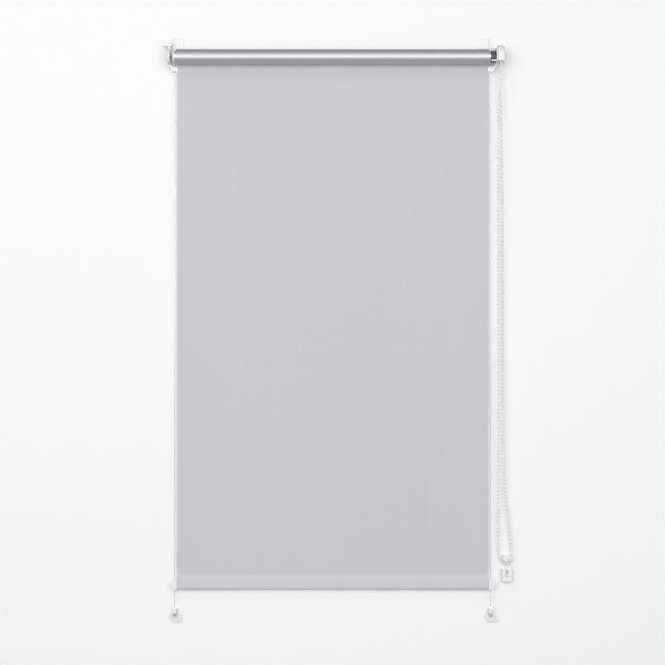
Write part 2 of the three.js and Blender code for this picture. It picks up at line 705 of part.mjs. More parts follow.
const guideWire = (side) =>
  rod([side * WIRE_X, PANEL_MID, WIRE_BOTTOM], [side * WIRE_X, PANEL_MID, NOSE_TOP + 5], WIRE_RADIUS, 8);

// A crimped barrel on the wire that bears on a nose.
const barrel = (side, low, high, radius) =>
  cut(
    rod([side * WIRE_X, PANEL_MID, low], [side * WIRE_X, PANEL_MID, high], radius, 16),
    rod([side * WIRE_X, PANEL_MID, low - 1], [side * WIRE_X, PANEL_MID, high + 1], WIRE_HOLE, 10),
  );
const wireStop = (side) =>
  barrel(side, NOSE_TOP + GAP, NOSE_TOP + GAP + STOP_LENGTH, STOP_RADIUS);
const wireTensioner = (side) => {
  const top = FOOT_Z + FOOT_NOSE_LOW - GAP;
  return barrel(side, top - TENSIONER_LENGTH, top, STOP_RADIUS + 0.3);
};

const FOOT_SHIFT = 2.5; // the sleeve's middle, to the right of the wire

function footBracket(side) {
  const x = side * WIRE_X;
  const outline = [
    [-10.5, 0], [-3.4, 14], [-1.8, 16.5], [1.8, 16.5], [3.4, 14], [4.6, 7.5], [10.5, 5], [10.5, 0],
  ];
  const plate = alongY(
    shapeOf(outline.map(([u, z]) => [x + u, FOOT_Z + z])),
    -FOOT_PLATE,
    0,
  );
  const grip = clampSleeve().rotate([0, 180, 0]).translate([x + FOOT_SHIFT, 0, FOOT_Z]);
  const root = box(
    [x + FOOT_SHIFT - HOOK_WIDTH / 2, x + FOOT_SHIFT + HOOK_WIDTH / 2],
    [-FOOT_PLATE, 0],
    [FOOT_Z - 1, FOOT_Z + 0.5],
  );
  const nose = box(
    [x - 2.8, x + 2.8],
    [PANEL_MID - 2.8, -1],
    [FOOT_Z + FOOT_NOSE_LOW, FOOT_Z + FOOT_NOSE_HIGH],
  );
  const hole = rod([x, PANEL_MID, FOOT_Z], [x, PANEL_MID, FOOT_Z + 20], WIRE_HOLE, 12);
  return cut(join(plate, root, grip, nose), hole);
}

// ---------------------------------------------------------------- bead chain
// Loop of 4.5 mm beads, 6 mm apart: down from the front of the wheel, round the slider, up to its back.
const CHAIN_ROUTE = [
  [268.5, -30.55, -35], [268.4, -30.5, -46], [267.2, -30.2, -62], [265.4, -29.6, -85],
  [264.5, -28.6, -120], [264.3, -26.6, -200], [264.5, -24.2, -300], [264.9, -21.6, -400],
  [265.3, -18.8, -500], [265.6, -15.8, -600], [265.9, -12.8, -700], [266.1, -10.6, -770],
  [266.3, -9, -802], [267.2, -7.9, -818], [269.7, -7.4, -830.6], [273.4, -7.4, -836.9],
  [279, -7.4, -839.2], [284.6, -7.4, -836.5], [287.4, -7.4, -829.5], [287, -7.4, -818],
  [285.6, -7.5, -800], [283.6, -8, -778], [280.6, -8.5, -755], [277.8, -8.9, -728],
  [275.8, -9.2, -692], [274.5, -9.5, -640], [273.6, -9.8, -590], [272.9, -10.2, -500],
  [272.7, -10.6, -400], [272.4, -10.9, -300], [271.8, -11.2, -200], [270.8, -11.4, -130],
  [269.4, -11.45, -80], [268.6, -11.45, -50], [268.5, -11.45, -35],
];

// A smooth curve stepped evenly between its points, so that the tight turn keeps its steps.
class Route extends THREE.CatmullRomCurve3 {
  getUtoTmapping(u) {
    return u;
  }
}

const beadChain = () => {
  const curve = new Route(CHAIN_ROUTE.map((p) => new THREE.Vector3(...p)));
  return swept(curve, BEAD_RADIUS - 0.05, 8, 2 * (CHAIN_ROUTE.length - 1));
};

function chainOnWheel() {
  const tail = 8.7;
  const at = (angle) =>
    new THREE.Vector3(
      WHEEL_MID,
      AXIS_Y - WHEEL_RADIUS * Math.cos(angle),
      AXIS_Z + WHEEL_RADIUS * Math.sin(angle),
    );
  const beads = [];
  const stops = [at(0).setZ(AXIS_Z - tail)];
  for (let i = 0; i <= WHEEL_POCKETS / 2; i++) {
    beads.push(at((i / WHEEL_POCKETS) * 2 * Math.PI));
    stops.push(beads.at(-1));
  }
  stops.push(at(Math.PI).setZ(AXIS_Z - tail));
  beads.push(at(0).setZ(AXIS_Z - BEAD_PITCH), at(Math.PI).setZ(AXIS_Z - BEAD_PITCH));
  const links = [];
  for (let i = 1; i < stops.length; i++)
    links.push(rod(stops[i - 1].toArray(), stops[i].toArray(), THREAD_RADIUS, 8));
  const balls = beads.map((p) =>
    solid(new THREE.SphereGeometry(BEAD_RADIUS, 10, 6).translate(p.x, p.y, p.z)),
  );
  return join(...links, ...balls);
}

// ---------------------------------------------------------------- chain holder
const HOLDER_SIDE = 11.5; // outwards of the wheel whose chain it holds
const SADDLE_SIDE = 1.8; // saddle's middle, inwards of the holder's
const HOLDER_X = WHEEL_MID + HOLDER_SIDE;
const HOLDER_TOP = -846;
const SADDLE_X = HOLDER_X - SADDLE_SIDE;
const SADDLE_Z = -830;
const SADDLE_RADIUS = 5.8;
const NECK_HALF = 3.6;
const NECK_DEPTH = 3.2;
const HOLDER_PAD = 0.9;
const HOLDER_SCREW_Z = HOLDER_TOP - HOLDER_HEIGHT / 2;
const SLIDER_TRAVEL = 6;

function chainHolderBase() {
  const half = HOLDER_WIDTH / 2;
  const low = HOLDER_TOP - HOLDER_HEIGHT;
  const shape = new THREE.Shape();
  shape.moveTo(HOLDER_X - half, low);
  shape.lineTo(HOLDER_X + half, low);
  shape.lineTo(HOLDER_X + half, HOLDER_TOP - 5);
  shape.absarc(HOLDER_X + half - 5, HOLDER_TOP - 5, 5, 0, Math.PI / 2, false);
  shape.absarc(HOLDER_X - half + 5, HOLDER_TOP - 5, 5, Math.PI / 2, Math.PI, false);
  shape.closePath();
  const block = alongY(shape, -HOLDER_DEPTH, -HOLDER_PAD - GAP);
  const channel = box(
    [HOLDER_X - NECK_HALF - GAP, HOLDER_X + NECK_HALF + GAP],
    [-HOLDER_PAD - GAP - NECK_DEPTH - GAP, 1],
    [low - 1, HOLDER_TOP + 1],
  );
  const slotR = SCREW_RADIUS + GAP;
  const slot = new THREE.Shape();
  slot.moveTo(HOLDER_X + slotR, HOLDER_SCREW_Z);
  slot.lineTo(HOLDER_X + slotR, HOLDER_SCREW_Z + SLIDER_TRAVEL);
  slot.absarc(HOLDER_X, HOLDER_SCREW_Z + SLIDER_TRAVEL, slotR, 0, Math.PI, false);
  slot.lineTo(HOLDER_X - slotR, HOLDER_SCREW_Z);
  slot.absarc(HOLDER_X, HOLDER_SCREW_Z, slotR, Math.PI, 2 * Math.PI, false);
  return cut(block, channel, alongY(slot, -HOLDER_DEPTH - 1, 1));
}

const chainHolderPad = () =>
  box(
    [HOLDER_X - HOLDER_WIDTH / 2 + 1, HOLDER_X + HOLDER_WIDTH / 2 - 1],
    [-HOLDER_PAD, 0],
    [HOLDER_TOP - HOLDER_HEIGHT + 1, HOLDER_TOP - 3],
  );

function chainSlider() {
  const back = -HOLDER_PAD - GAP;
  const front = back - NECK_DEPTH;
  const half = HOLDER_WIDTH / 2;
  const neck = box(
    [HOLDER_X - NECK_HALF, HOLDER_X + NECK_HALF],
    [front, back],
    [HOLDER_SCREW_Z - 5, SADDLE_Z],
  );
  const saddle = rod([SADDLE_X, front - 7.2, SADDLE_Z], [SADDLE_X, front + 1, SADDLE_Z], SADDLE_RADIUS, 28);
  const flat = box([SADDLE_X - 10, SADDLE_X + 10], [-20, front - 0.01], [SADDLE_Z + 2.5, SADDLE_Z + 10]);
  const collar = box(
    [HOLDER_X - half, HOLDER_X + half],
    [front - 8.6, front - 7],
    [SADDLE_Z - 1.5, SADDLE_Z + 2.5],
  );
  const thread = rod([HOLDER_X, -20, HOLDER_SCREW_Z], [HOLDER_X, 1, HOLDER_SCREW_Z], SCREW_RADIUS + GAP, 12);
  return cut(join(neck, cut(saddle, flat), collar), thread);
}

function sliderScrew() {
  const base = -HOLDER_DEPTH - GAP;
  const z = HOLDER_SCREW_Z;
  const head = rod([HOLDER_X, base - 1.5, z], [HOLDER_X, base, z], 2.9);
  const shank = rod([HOLDER_X, base - 0.5, z], [HOLDER_X, -HOLDER_PAD - GAP - 0.4, z], SCREW_RADIUS, 12);
  const slots = [[0.3, 1.8], [1.8, 0.3]].map(([w, h]) =>
    box([HOLDER_X - w, HOLDER_X + w], [base - 3, base - 0.9], [z - h, z + h]),
  );
  return cut(join(head, shank), ...slots);
}

// ---------------------------------------------------------------- the blind
const blind = new THREE.Group();
blind.add(
  node("left_bracket", leftBracket(), whitePlastic()),
  node("right_bracket", rightBracket(), whitePlastic()),
  clampSet("left_top", LEFT_HOOK_X, 0, false),
  clampSet("right_top", RIGHT_HOOK_X, 0, false),
  clampSet("left_foot", -WIRE_X + FOOT_SHIFT, FOOT_Z, true),
  clampSet("right_foot", WIRE_X + FOOT_SHIFT, FOOT_Z, true),

  node("roller_tube", rollerTube(), aluminium()),
  node("fabric_roll", fabricRoll(), silverFabric()),
  node("idle_plug", idlePlug(), whitePlastic()),
  node("idle_pin", idlePin(), steel()),
  node("idle_spring", idleSpring(), springSteel()),
  node("idle_spring_cap", idleSpringCap(), darkPlastic()),
  node("chain_wheel", chainWheel(), whitePlastic()),
  node("tube_adapter", tubeAdapter(), darkPlastic()),
  node("drive_shaft", driveShaft(), steel()),
  node("clutch_spring", clutchSpring(), springSteel()),
  node("drive_cover", driveCover(), whitePlastic()),
  node("shaft_screw", endScrew(AXIS_Y, AXIS_Z, 9, SHAFT_SCREW_RADIUS, 2.6), steel()),

  node("fabric_panel", fabricPanel(), greyFabric()),
  node("hem_pocket", hemPocket(), greyFabric()),
  node("bottom_bar", bottomBar(), aluminium()),

  node("bead_chain", beadChain(), chainPlastic()),
  node("chain_on_wheel", chainOnWheel(), chainPlastic()),
  node("chain_holder_base", chainHolderBase(), whitePlastic()),
  node("chain_holder_pad", chainHolderPad(), rubber()),
  node("chain_slider", chainSlider(), whitePlastic()),
  node("slider_screw", sliderScrew(), steel()),
);
for (const [name, z] of Object.entries(COVER_SCREWS)) {
  const length = COVER_OUT + GAP - HOUSING_IN - 0.4;
  blind.add(node("cover_screw_" + name, endScrew(SCREW_Y, z, length, COVER_SCREW_RADIUS, 1.9), steel()));
}
for (const [name, side] of [["left", -1], ["right", 1]]) {
  blind.add(
    node(name + "_bar_cap", barCap(side), whitePlastic()),
    node(name + "_foot_bracket", footBracket(side), whitePlastic()),
    node(name + "_guide_wire", guideWire(side), clearWire()),
    node(name + "_wire_stop", wireStop(side), steel()),
    node(name + "_wire_tensioner", wireTensioner(side), steel()),
  );
}

export default blind;
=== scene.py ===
# %% [markdown]
# # A clamp-on roller blind, dressed for its portrait
#
# This lesson takes the plain model of a small roller blind and gives it its real surfaces and its
# soft parts. The blind hangs in front of a window sash: four clamps hook over the sash's edges, a
# bead chain on the right turns the roll, and two thin nylon wires keep the hem close to the glass.
# Every length is in metres. X runs along the roll, Y runs away from us into the sash, and Z runs up,
# with zero on the sash's top front edge.

# %% Load the fixed model
import json
import math
import random

import bmesh
import bpy
from mathutils import Matrix, Vector


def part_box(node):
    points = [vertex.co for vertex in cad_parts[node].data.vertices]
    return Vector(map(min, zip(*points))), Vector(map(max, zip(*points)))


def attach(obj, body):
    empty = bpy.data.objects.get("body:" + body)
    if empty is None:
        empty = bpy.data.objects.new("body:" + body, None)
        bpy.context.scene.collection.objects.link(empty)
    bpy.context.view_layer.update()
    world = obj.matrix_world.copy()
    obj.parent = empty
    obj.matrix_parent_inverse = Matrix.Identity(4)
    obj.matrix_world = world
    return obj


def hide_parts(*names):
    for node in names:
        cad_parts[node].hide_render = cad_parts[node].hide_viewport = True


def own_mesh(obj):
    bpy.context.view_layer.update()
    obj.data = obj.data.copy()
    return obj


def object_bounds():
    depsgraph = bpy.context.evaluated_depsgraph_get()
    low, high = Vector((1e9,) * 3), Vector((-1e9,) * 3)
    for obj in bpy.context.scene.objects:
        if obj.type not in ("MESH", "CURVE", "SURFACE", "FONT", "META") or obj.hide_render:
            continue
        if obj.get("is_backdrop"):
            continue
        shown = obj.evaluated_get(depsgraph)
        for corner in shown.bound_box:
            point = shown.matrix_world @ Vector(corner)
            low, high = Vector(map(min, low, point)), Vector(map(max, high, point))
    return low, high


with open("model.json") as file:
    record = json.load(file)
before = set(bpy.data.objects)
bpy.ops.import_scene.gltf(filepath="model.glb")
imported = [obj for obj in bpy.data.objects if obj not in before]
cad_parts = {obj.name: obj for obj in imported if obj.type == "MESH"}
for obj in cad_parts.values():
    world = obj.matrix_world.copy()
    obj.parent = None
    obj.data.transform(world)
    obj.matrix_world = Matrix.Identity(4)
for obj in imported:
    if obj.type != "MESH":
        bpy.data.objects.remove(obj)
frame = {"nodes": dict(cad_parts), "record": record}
cad_low, cad_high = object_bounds()
nodes = frame["nodes"]
scene = bpy.context.scene
print("loaded", len(nodes), "solid parts, box", [round(v, 4) for v in (*cad_low, *cad_high)])

# %% [markdown]
# ## The camera first
#
# A product picture of a blind is taken square on with a long lens, so that the fabric's sides stay
# parallel. We put the camera two and a half metres in front of the fabric and choose the lens from
# the width that should fill the picture: focal length = sensor width x distance / width seen.

# %% Camera
FABRIC_Y = -0.0085
STAND_BACK = 2.5
WIDTH_SEEN = 1.0693
AIM = Vector((-0.0003, FABRIC_Y, -0.4673))

camera_data = bpy.data.cameras.new("portrait_camera")
camera_data.sensor_width = 36
camera_data.lens = camera_data.sensor_width * STAND_BACK / WIDTH_SEEN
camera_data.clip_start, camera_data.clip_end = 0.05, 30
camera = bpy.data.objects.new("portrait_camera", camera_data)
camera.location = AIM - Vector((0, STAND_BACK, 0))
camera.rotation_euler = (math.radians(90), 0, 0)
scene.collection.objects.link(camera)
scene.camera = camera
print("lens", round(camera_data.lens, 2), "mm")

# %% [markdown]
# ## Two small helpers for meshes
#
# Most new pieces start as a bmesh, Blender's editable mesh. One helper turns a bmesh into an object,
# and the other says which body of the model it moves with, which solid it stands for and which finish
# it takes.

# %% Helpers that make an object and place it
def mesh_object(name, bm, smooth_angle=None):
    """A bmesh as an object at the origin; smooth up to smooth_angle degrees, or flat with None.

    Extruding makes faces in no fixed order, so they are sorted by their vertices' numbers.
    Open rims are marked sharp, so that a later Solidify doesn't shade round the cut edge.
    """
    mesh = bpy.data.meshes.new(name)
    bm.verts.index_update()
    count = len(bm.verts)

    def vertex_key(element):
        key = 0
        for index in sorted(vert.index for vert in element.verts)[:3]:
            key = key * count + index
        return key

    bm.edges.sort(key=vertex_key)
    bm.faces.sort(key=vertex_key)
    bm.edges.index_update()
    rims = [edge.index for edge in bm.edges if edge.is_boundary]
    bm.to_mesh(mesh)
    bm.free()
    made = bpy.data.objects.new(name, mesh)
    scene.collection.objects.link(made)
    if smooth_angle is not None:
        mesh.shade_smooth()
        mesh.set_sharp_from_angle(angle=math.radians(smooth_angle))
        for index in rims:
            mesh.edges[index].use_edge_sharp = True
    return made


def belongs(piece, body, stands_for, material):
    """The piece moves with a body, stands for some solids and takes its finish from a slot."""
    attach(piece, body)
    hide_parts(*stands_for)
    piece.data.materials.clear()
    piece.data.materials.append(material)
    print(piece.name, len(piece.data.polygons), "faces, rides on", body)
    return piece


# %% [markdown]
# ## A pale studio
#
# The blind is white and light grey, so it is shown against a pale wall that stands where the sash's
# front face would be. Its shadows then stay tight, as on a real window. The wall is only seen from
# its front: from behind, and for light, it lets everything through, so that the back of the blind can
# be looked at too. One very wide soft light fills the room in front. Its size matters for the silver
# roll: the roll's broad bright band is that light's reflection, and the roll's darker edges are the
# dim sky above and below.

# %% Wall and floor
def plain_surface(name, colour, one_sided):
    material = bpy.data.materials.new(name)
    material.use_nodes = True
    tree = material.node_tree
    shader = tree.nodes["Principled BSDF"]
    shader.inputs["Base Color"].default_value = (*colour, 1)
    shader.inputs["Roughness"].default_value = 0.9
    shader.inputs["Specular IOR Level"].default_value = 0.1
    if one_sided:
        clear = tree.nodes.new("ShaderNodeBsdfTransparent")
        side = tree.nodes.new("ShaderNodeNewGeometry")
        light_path = tree.nodes.new("ShaderNodeLightPath")
        seen = tree.nodes.new("ShaderNodeMath")
        seen.operation = "SUBTRACT"
        seen.use_clamp = True
        mix = tree.nodes.new("ShaderNodeMixShader")
        tree.links.new(light_path.outputs["Is Camera Ray"], seen.inputs[0])
        tree.links.new(side.outputs["Backfacing"], seen.inputs[1])
        tree.links.new(seen.outputs[0], mix.inputs["Fac"])
        tree.links.new(clear.outputs[0], mix.inputs[1])
        tree.links.new(shader.outputs[0], mix.inputs[2])
        tree.links.new(mix.outputs[0], tree.nodes["Material Output"].inputs["Surface"])
    return material


def backdrop(name, size, matrix, material):
    bm = bmesh.new()
    bmesh.ops.create_grid(bm, x_segments=1, y_segments=1, size=size, matrix=matrix)
    made = mesh_object(name, bm)
    made.data.materials.append(material)
    made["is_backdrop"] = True


WALL_Y = 0.0006
WALL_HALF = 4.0
WALL_MIDDLE_Z = 1.5
FLOOR_Z = -1.06
FLOOR_HALF = 6.0
upright = Matrix.Translation((0, WALL_Y, WALL_MIDDLE_Z)) @ Matrix.Rotation(math.radians(90), 4, "X")
pale_wall = plain_surface("pale_wall", (0.93, 0.93, 0.932), one_sided=True)
pale_floor = plain_surface("pale_floor", (0.5, 0.5, 0.5), one_sided=False)
backdrop("wall", WALL_HALF, upright, pale_wall)
backdrop("floor", FLOOR_HALF, Matrix.Translation((0, 0, FLOOR_Z)), pale_floor)


# %% Soft lights
def soft_light(name, place, aim, width, height, watts):
    data = bpy.data.lights.new(name, "AREA")
    data.shape = "RECTANGLE"
    data.size, data.size_y, data.energy = width, height, watts
    lamp = bpy.data.objects.new(name, data)
    lamp.location = place
    lamp.rotation_euler = (Vector(aim) - Vector(place)).to_track_quat("-Z", "Y").to_euler()
    lamp.visible_camera = False
    scene.collection.objects.link(lamp)


MIDDLE = (0, 0, -0.45)
soft_light("front_light", (-0.2, -3.0, 0.05), MIDDLE, width=5.0, height=2.2, watts=82)
soft_light("high_light", (-0.9, -1.7, 1.9), MIDDLE, width=2.4, height=1.2, watts=4)
soft_light("back_light", (0.5, 2.6, 0.5), MIDDLE, width=3.0, height=2.2, watts=60)

world = bpy.data.worlds.new("studio_sky")
world.use_nodes = True
sky = world.node_tree.nodes["Background"].inputs
sky["Color"].default_value = (0.98, 0.985, 1.0, 1)
sky["Strength"].default_value = 0.38
scene.world = world
scene.view_settings.view_transform = "Standard"
print("studio ready, wall at Y", WALL_Y)

# %% [markdown]
# ## Patterns that several finishes share
#
# A shader node group is a pattern with knobs. We build each one once, and every material that needs
# it places it with its own values. The first is the fine dimpled skin of moulded plastic, with faint
# cloudy patches where the mould was hotter. All patterns read Object coordinates, because a finished
# piece sits at the origin and its place is in its mesh, so the pattern stays put.


# %% A helper for node groups
def pattern_group(name, knobs, outputs):
    """An empty shader node group with float knobs {name: default} and outputs {name: socket type}."""
    group = bpy.data.node_groups.new(name, "ShaderNodeTree")
    for knob, default in knobs.items():
        socket = group.interface.new_socket(knob, in_out="INPUT", socket_type="NodeSocketFloat")
        socket.default_value = default
    for output, kind in outputs.items():
        group.interface.new_socket(output, in_out="OUTPUT", socket_type=kind)
    start = group.nodes.new("NodeGroupInput")
    end = group.nodes.new("NodeGroupOutput")
    return group, start.outputs, end.inputs


def math_node(tree, operation, first, second=None):
    made = tree.nodes.new("ShaderNodeMath")
    made.operation = operation
    for socket, value in zip(made.inputs, (first, second)):
        if value is None:
            continue
        if isinstance(value, (int, float)):
            socket.default_value = value
        else:
            tree.links.new(value, socket)
    return made.outputs[0]


def noise_node(tree, where, scale, detail=2.0):
    made = tree.nodes.new("ShaderNodeTexNoise")
    made.inputs["Detail"].default_value = detail
    tree.links.new(where, made.inputs["Vector"])
    if isinstance(scale, (int, float)):
        made.inputs["Scale"].default_value = scale
    else:
        tree.links.new(scale, made.inputs["Scale"])
    return made.outputs["Fac"]


# %% Moulded skin
skin, knob, out = pattern_group(
    "moulded_skin",
    {
        "Dimple Scale": 2600.0, "Cloud Scale": 60.0,
        "Roughness": 0.35, "Roughness Swing": 0.1, "Shade Swing": 0.04,
    },
    {"Height": "NodeSocketFloat", "Roughness": "NodeSocketFloat", "Shade": "NodeSocketFloat"},
)
place = skin.nodes.new("ShaderNodeTexCoord").outputs["Object"]
dimples = noise_node(skin, place, knob["Dimple Scale"])
clouds = noise_node(skin, place, knob["Cloud Scale"], 4.0)
centred = math_node(skin, "SUBTRACT", clouds, 0.5)
skin.links.new(dimples, out["Height"])
rougher = math_node(skin, "MULTIPLY", centred, knob["Roughness Swing"])
skin.links.new(math_node(skin, "ADD", knob["Roughness"], rougher), out["Roughness"])
paler = math_node(skin, "MULTIPLY", centred, knob["Shade Swing"])
skin.links.new(math_node(skin, "ADD", 1.0, paler), out["Shade"])
print("moulded_skin has", len(skin.nodes), "nodes")

# %% [markdown]
# The second pattern is cloth. The threads of this blind are about a quarter of a millimetre, and
# now and then one is thicker, which shows as a faint line. Long, broad clouds of painted light and
# shade in the colour stand for the look of the cloth's slightly uneven lay.

# %% Plain weave
weave, knob, out = pattern_group(
    "plain_weave",
    {"Thread": 0.00026, "Slub": 0.5, "Cloud": 0.5},
    {"Height": "NodeSocketFloat", "Shade": "NodeSocketFloat"},
)
place = weave.nodes.new("ShaderNodeTexCoord").outputs["Object"]
split = weave.nodes.new("ShaderNodeSeparateXYZ")
weave.links.new(place, split.inputs[0])
per_thread = math_node(weave, "DIVIDE", math.pi, knob["Thread"])
across = math_node(weave, "SINE", math_node(weave, "MULTIPLY", split.outputs["X"], per_thread))
along = math_node(weave, "SINE", math_node(weave, "MULTIPLY", split.outputs["Z"], per_thread))
crossing = math_node(weave, "MULTIPLY", across, along)


def stretched_noise(tree, where, stretch, detail):
    squeezed = tree.nodes.new("ShaderNodeMapping")
    squeezed.inputs["Scale"].default_value = stretch
    tree.links.new(where, squeezed.inputs["Vector"])
    return math_node(tree, "SUBTRACT", noise_node(tree, squeezed.outputs[0], 1.0, detail), 0.5)


warp_slubs = stretched_noise(weave, place, (900.0, 900.0, 7.0), 2.0)
weft_slubs = stretched_noise(weave, place, (7.0, 900.0, 900.0), 2.0)
slubs = math_node(weave, "MULTIPLY", math_node(weave, "ADD", warp_slubs, weft_slubs), knob["Slub"])
# Painted light and shade: broad stretched clouds in the colour for the cloth's uneven lay.
painted_lay_clouds = math_node(weave, "MULTIPLY", stretched_noise(weave, place, (5.0, 5.0, 2.2), 3.0), knob["Cloud"])
threads = math_node(weave, "MULTIPLY", crossing, 0.35)
weave.links.new(math_node(weave, "ADD", threads, slubs), out["Height"])
slub_shade = math_node(weave, "MULTIPLY", slubs, 0.16)
painted_lay_shade = math_node(weave, "MULTIPLY", painted_lay_clouds, 0.1)
uneven = math_node(weave, "ADD", slub_shade, painted_lay_shade)
weave.links.new(math_node(weave, "ADD", 1.0, uneven), out["Shade"])
print("plain_weave has", len(weave.nodes), "nodes")

# %% [markdown]
# The third pattern is the drawn surface of metal: an extruded bar or a drawn wire carries fine lines
# along its length, and zinc plating has small bright and dull patches. One group does both, with its
# stretch set by three knobs.

# %% Drawn metal
drawn, knob, out = pattern_group(
    "drawn_metal",
    {"Lines X": 12.0, "Lines Y": 2500.0, "Lines Z": 2500.0, "Roughness": 0.3, "Swing": 0.18},
    {"Height": "NodeSocketFloat", "Roughness": "NodeSocketFloat", "Shade": "NodeSocketFloat"},
)
place = drawn.nodes.new("ShaderNodeTexCoord").outputs["Object"]
stretch = drawn.nodes.new("ShaderNodeCombineXYZ")
for axis in "XYZ":
    drawn.links.new(knob[f"Lines {axis}"], stretch.inputs[axis])
scaled = drawn.nodes.new("ShaderNodeVectorMath")
scaled.operation = "MULTIPLY"
drawn.links.new(place, scaled.inputs[0])
drawn.links.new(stretch.outputs[0], scaled.inputs[1])
lines = noise_node(drawn, scaled.outputs[0], 1.0, 3.0)
patches = noise_node(drawn, place, 420.0, 3.0)
both = math_node(drawn, "SUBTRACT", math_node(drawn, "ADD", lines, patches), 1.0)
drawn.links.new(lines, out["Height"])
rougher = math_node(drawn, "MULTIPLY", both, knob["Swing"])
drawn.links.new(math_node(drawn, "ADD", knob["Roughness"], rougher), out["Roughness"])
paler = math_node(drawn, "MULTIPLY", both, 0.12)
drawn.links.new(math_node(drawn, "ADD", 1.0, paler), out["Shade"])
print("drawn_metal has", len(drawn.nodes), "nodes")

# %% [markdown]
# ## The finishes
#
# Each finish is one Principled shader. A pattern's Shade output multiplies the base colour, its
# Height goes through a Bump node, and its Roughness goes straight in. Everything that is the same all
# over the surface is typed on the shader itself.


# %% A helper that builds one finish
def finish(name, colour, pattern, knobs, bump, bump_depth, roughness=None, **fixed):
    """A Principled material over a pattern; fixed holds shader sockets, with _ for a space."""
    material = bpy.data.materials.new(name)
    material.use_nodes = True
    tree = material.node_tree
    shader = tree.nodes["Principled BSDF"]
    placed = tree.nodes.new("ShaderNodeGroup")
    placed.node_tree = pattern
    for key, value in knobs.items():
        placed.inputs[key].default_value = value
    tint = tree.nodes.new("ShaderNodeMix")
    tint.data_type = "RGBA"
    tint.blend_type = "MULTIPLY"
    tint.inputs["Factor"].default_value = 1.0
    tint.inputs["A"].default_value = (*colour, 1)
    tree.links.new(placed.outputs["Shade"], tint.inputs["B"])
    tree.links.new(tint.outputs["Result"], shader.inputs["Base Color"])
    relief = tree.nodes.new("ShaderNodeBump")
    relief.inputs["Strength"].default_value = bump
    relief.inputs["Distance"].default_value = bump_depth
    tree.links.new(placed.outputs["Height"], relief.inputs["Height"])
    tree.links.new(relief.outputs["Normal"], shader.inputs["Normal"])
    if roughness is None:
        tree.links.new(placed.outputs["Roughness"], shader.inputs["Roughness"])
    else:
        shader.inputs["Roughness"].default_value = roughness
    for key, value in fixed.items():
        shader.inputs[key.replace("_", " ")].default_value = value
    print("finish", name)
    return material


# %% Plastics, rubber and metals
white_plastic = finish(
    "white_plastic", (0.83, 0.835, 0.845), skin, {"Roughness": 0.3},
    bump=0.25, bump_depth=0.00004,
    Coat_Weight=0.15, Coat_Roughness=0.12,
)
# Near-black plastic. On the roller's collar this darkness is partly painted shade for the shadowed
# gap between the roll and the drive cover.
dark_plastic = finish(
    "dark_plastic", (0.075, 0.078, 0.085), skin, {"Roughness": 0.45, "Shade Swing": 0.3},
    bump=0.4, bump_depth=0.00005,
)
chain_plastic = finish(
    "chain_plastic", (0.86, 0.86, 0.865), skin, {"Roughness": 0.22, "Cloud Scale": 220.0},
    bump=0.1, bump_depth=0.00002,
    Coat_Weight=0.3, Coat_Roughness=0.08,
)
rubber_pad = finish(
    "rubber_pad", (0.055, 0.055, 0.058), skin,
    {"Roughness": 0.85, "Dimple Scale": 1300.0, "Shade Swing": 0.5},
    bump=0.7, bump_depth=0.0001,
)
clear_nylon = finish(
    "clear_nylon", (0.82, 0.84, 0.86), drawn,
    {"Lines X": 900.0, "Lines Y": 900.0, "Lines Z": 6.0, "Roughness": 0.18},
    bump=0.1, bump_depth=0.00002, Transmission_Weight=0.55, IOR=1.52,
)
bar_aluminium = finish(
    "bar_aluminium", (0.7, 0.71, 0.72), drawn, {"Roughness": 0.34},
    bump=0.3, bump_depth=0.00003, Metallic=1.0,
)
zinc_steel = finish(
    "zinc_steel", (0.66, 0.665, 0.67), drawn,
    {"Lines X": 500.0, "Lines Y": 500.0, "Lines Z": 500.0, "Roughness": 0.32},
    bump=0.25, bump_depth=0.00003, Metallic=1.0,
)
spring_steel = finish(
    "spring_steel", (0.6, 0.605, 0.615), drawn, {"Roughness": 0.28, "Lines X": 900.0},
    bump=0.25, bump_depth=0.00002, Metallic=1.0,
)

# %% [markdown]
# ## Two faces of one cloth
#
# A thermal blind's cloth is light grey towards the room and silver coated towards the glass. On the
# roll the coated side is outside. So there are two finishes with the same weave, and the hanging
# cloth wears both. The hem wears a slightly lighter grey, because two layers over a bright bar let
# less light through.

# %% Cloth finishes
def room_side_cloth(name, colour):
    return finish(
        name, colour, weave, {"Slub": 0.45, "Cloud": 0.5},
        bump=0.35, bump_depth=0.00005, roughness=0.82,
        Sheen_Weight=0.12, Sheen_Roughness=0.5, Specular_IOR_Level=0.25,
    )


grey_cloth = room_side_cloth("grey_cloth", (0.585, 0.58, 0.605))
hem_cloth = room_side_cloth("hem_cloth", (0.62, 0.615, 0.64))
silver_cloth = finish(
    "silver_cloth", (0.565, 0.565, 0.575), weave, {"Slub": 0.3, "Cloud": 0.25},
    bump=0.2, bump_depth=0.00003, roughness=0.47,
    Metallic=0.85,
)

# %% [markdown]
# ## Moulded and bent parts with soft edges
#
# The solid model has knife-sharp edges, which no moulded or pressed part has. An edge only looks real
# when a thin line of light runs along it. So we copy each part's mesh, merge its loose triangles,
# dissolve the flat ones into whole faces, and bevel the edges that are sharp and long enough to take
# a radius. A Bevel shader node would fake this in the render only. The bevelled mesh keeps its soft
# edges in an export too.


# %% A soft-edged copy of a solid part
SHORTEST_EDGE = 0.0009
SHARP_FROM = math.radians(38)
SAME_PLACE = 2e-6


